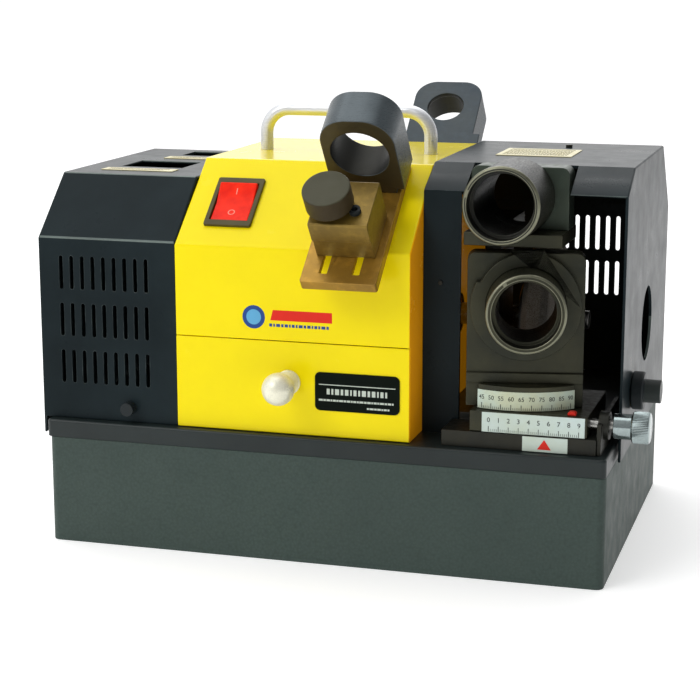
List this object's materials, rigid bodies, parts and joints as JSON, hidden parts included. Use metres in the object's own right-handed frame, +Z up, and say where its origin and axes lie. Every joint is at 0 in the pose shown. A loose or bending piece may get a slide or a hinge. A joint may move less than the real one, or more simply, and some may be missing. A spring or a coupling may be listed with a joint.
{
  "type": "drill bit sharpener",
  "caption": "Bench drill bit sharpener: motor housing with wheel covers, angled turret and chuck seats, setting fixture, drawer and carry handle on a box base.",
  "frame": {"origin": "middle of the base's underside, on the bench", "axes": "+X to the operator's right along the spindle, +Y away from the operator, +Z up"},
  "size_m": [0.4541, 0.3589, 0.3421],
  "materials": {
    "angle_pointer": "red paint",
    "angle_scale": "printed film",
    "angle_turret": "black oxide",
    "base_box": "grey-green wrinkle paint",
    "cable_gland": "matte black",
    "cam_flange": "black oxide",
    "carry_handle": "satin",
    "clamp_knob": "matte dark grey",
    "cross_slide": "black oxide",
    "deck_bolts": "zinc plated",
    "deck_plate": "satin black paint",
    "drawer_front": "gloss yellow paint",
    "drawer_knob": "polished",
    "drawer_nameplate": "printed black plate",
    "drawer_runners": "bare folded steel",
    "drawer_tray": "satin black paint",
    "drill_wheel": "abrasive wheel",
    "feed_knob": "polished",
    "floor_plate": "satin black paint",
    "floor_screws": "zinc plated",
    "handle_screws": "zinc plated",
    "lead_screw": "ground",
    "left_cover": "semi-gloss blue-black paint",
    "left_cover_labels": "printed film",
    "left_cover_thumbscrew": "matte black",
    "left_wheel": "abrasive wheel",
    "lower_seat_block": "black oxide",
    "lower_sleeve": "black oxide, worn bright at the mouth",
    "main_housing": "gloss yellow paint",
    "motor_barrel": "grey paint",
    "motor_capacitor": "matte black",
    "motor_cradle": "grey paint",
    "motor_end_bells": "cast",
    "rear_seat": "black oxide",
    "right_cover": "semi-gloss blue-black paint",
    "right_cover_label": "printed film",
    "right_cover_screws": "zinc plated",
    "rotor_core": "laminated steel",
    "seat_shelf": "black oxide",
    "setting_plate": "black oxide",
    "setting_seat": "black oxide",
    "shelf_post": "black oxide",
    "slide_bed": "black oxide",
    "slide_end_plate": "black oxide",
    "slide_lock_knob": "matte black",
    "slide_pointer_label": "printed film",
    "slide_scale": "printed film",
    "spindle_bearings": "ground",
    "spindle_shaft": "ground",
    "stator_coils": "enamelled copper wire",
    "stator_core": "laminated steel",
    "stop_block": "black oxide",
    "stop_keys": "milled",
    "stop_screw": "black oxide",
    "switch_bezel": "matte black",
    "switch_rocker": "translucent red",
    "turret_pin": "ground",
    "upper_seat_block": "black oxide",
    "upper_sleeve": "black oxide, worn bright at the mouth",
    "wheel_clamps": "turned"
  },
  "bodies": {
    "machine": {"base_box": "base_box", "cable_gland": "cable_gland", "carry_handle": "carry_handle", "deck_bolts": "deck_bolts", "deck_plate": "deck_plate", "drawer_runners": "drawer_runners", "floor_plate": "floor_plate", "floor_screws": "floor_screws", "handle_screws": "handle_screws", "left_cover": "left_cover", "left_cover_labels": "left_cover_labels", "main_housing": "main_housing", "motor_barrel": "motor_barrel", "motor_capacitor": "motor_capacitor", "motor_cradle": "motor_cradle", "motor_end_bells": "motor_end_bells", "rear_seat": "rear_seat", "right_cover": "right_cover", "right_cover_label": "right_cover_label", "right_cover_screws": "right_cover_screws", "seat_shelf": "seat_shelf", "setting_plate": "setting_plate", "setting_seat": "setting_seat", "shelf_post": "shelf_post", "slide_bed": "slide_bed", "slide_end_plate": "slide_end_plate", "slide_pointer_label": "slide_pointer_label", "spindle_bearings": "spindle_bearings", "stator_coils": "stator_coils", "stator_core": "stator_core", "switch_bezel": "switch_bezel", "upper_seat_block": "upper_seat_block", "upper_sleeve": "upper_sleeve"},
    "drawer": {"drawer_front": "drawer_front", "drawer_tray": "drawer_tray", "drawer_knob": "drawer_knob", "drawer_nameplate": "drawer_nameplate"},
    "power_rocker": {"switch_rocker": "switch_rocker"},
    "spindle": {"spindle_shaft": "spindle_shaft", "rotor_core": "rotor_core", "drill_wheel": "drill_wheel", "left_wheel": "left_wheel", "wheel_clamps": "wheel_clamps"},
    "stop": {"stop_block": "stop_block", "stop_keys": "stop_keys", "stop_screw": "stop_screw"},
    "stop_clamp": {"clamp_knob": "clamp_knob"},
    "slide": {"cross_slide": "cross_slide", "slide_scale": "slide_scale", "turret_pin": "turret_pin", "angle_pointer": "angle_pointer"},
    "feed": {"lead_screw": "lead_screw", "feed_knob": "feed_knob"},
    "turret": {"angle_turret": "angle_turret", "angle_scale": "angle_scale", "lower_seat_block": "lower_seat_block", "cam_flange": "cam_flange", "lower_sleeve": "lower_sleeve"},
    "slide_lock": {"slide_lock_knob": "slide_lock_knob"},
    "cover_thumbscrew": {"left_cover_thumbscrew": "left_cover_thumbscrew"}
  },
  "joints": [
    {"name": "drawer_slide", "type": "slide", "parent": "machine", "child": "drawer", "axis": [0, -1, 0], "range_m": [0, 0.08]},
    {"name": "power_rocker_tilt", "type": "hinge", "parent": "machine", "child": "power_rocker", "pos_m": [-0.073, -0.09997, 0.2542], "axis": [1, 0, 0], "range_deg": [-14, 0]},
    {"name": "spindle_spin", "type": "hinge", "parent": "machine", "child": "spindle", "pos_m": [0, 0.0235, 0.16], "axis": [1, 0, 0], "continuous": true},
    {"name": "stop_slide", "type": "slide", "parent": "machine", "child": "stop", "axis": [0, 0.7716, 0.6361], "range_m": [-0.022, 0.021]},
    {"name": "stop_clamp_turn", "type": "hinge", "parent": "stop", "child": "stop_clamp", "pos_m": [0.018, -0.16496, 0.27055], "axis": [0, -0.6361, 0.7716], "range_deg": [0, 720]},
    {"name": "cross_feed", "type": "slide", "parent": "machine", "child": "slide", "axis": [1, 0, 0], "range_m": [-0.01, 0.006]},
    {"name": "feed_screw_turn", "type": "hinge", "parent": "machine", "child": "feed", "pos_m": [0.19, -0.1175, 0.1134], "axis": [1, 0, 0], "range_deg": [-2908.8, 1756.8]},
    {"name": "turret_swing", "type": "hinge", "parent": "slide", "child": "turret", "pos_m": [0.137, -0.0665, 0.13], "axis": [0, 0, 1], "range_deg": [-1, 25]},
    {"name": "slide_lock_turn", "type": "hinge", "parent": "machine", "child": "slide_lock", "pos_m": [0.219, -0.0495, 0.124], "axis": [1, 0, 0], "range_deg": [-360, 0]},
    {"name": "thumbscrew_turn", "type": "hinge", "parent": "machine", "child": "cover_thumbscrew", "pos_m": [-0.1465, -0.1375, 0.1055], "axis": [0, -1, 0], "range_deg": [0, 720]}
  ],
  "couplings": [
    {"joint": "feed_screw_turn", "follows": "cross_feed", "rad_per_m": 5026.5}
  ]
}
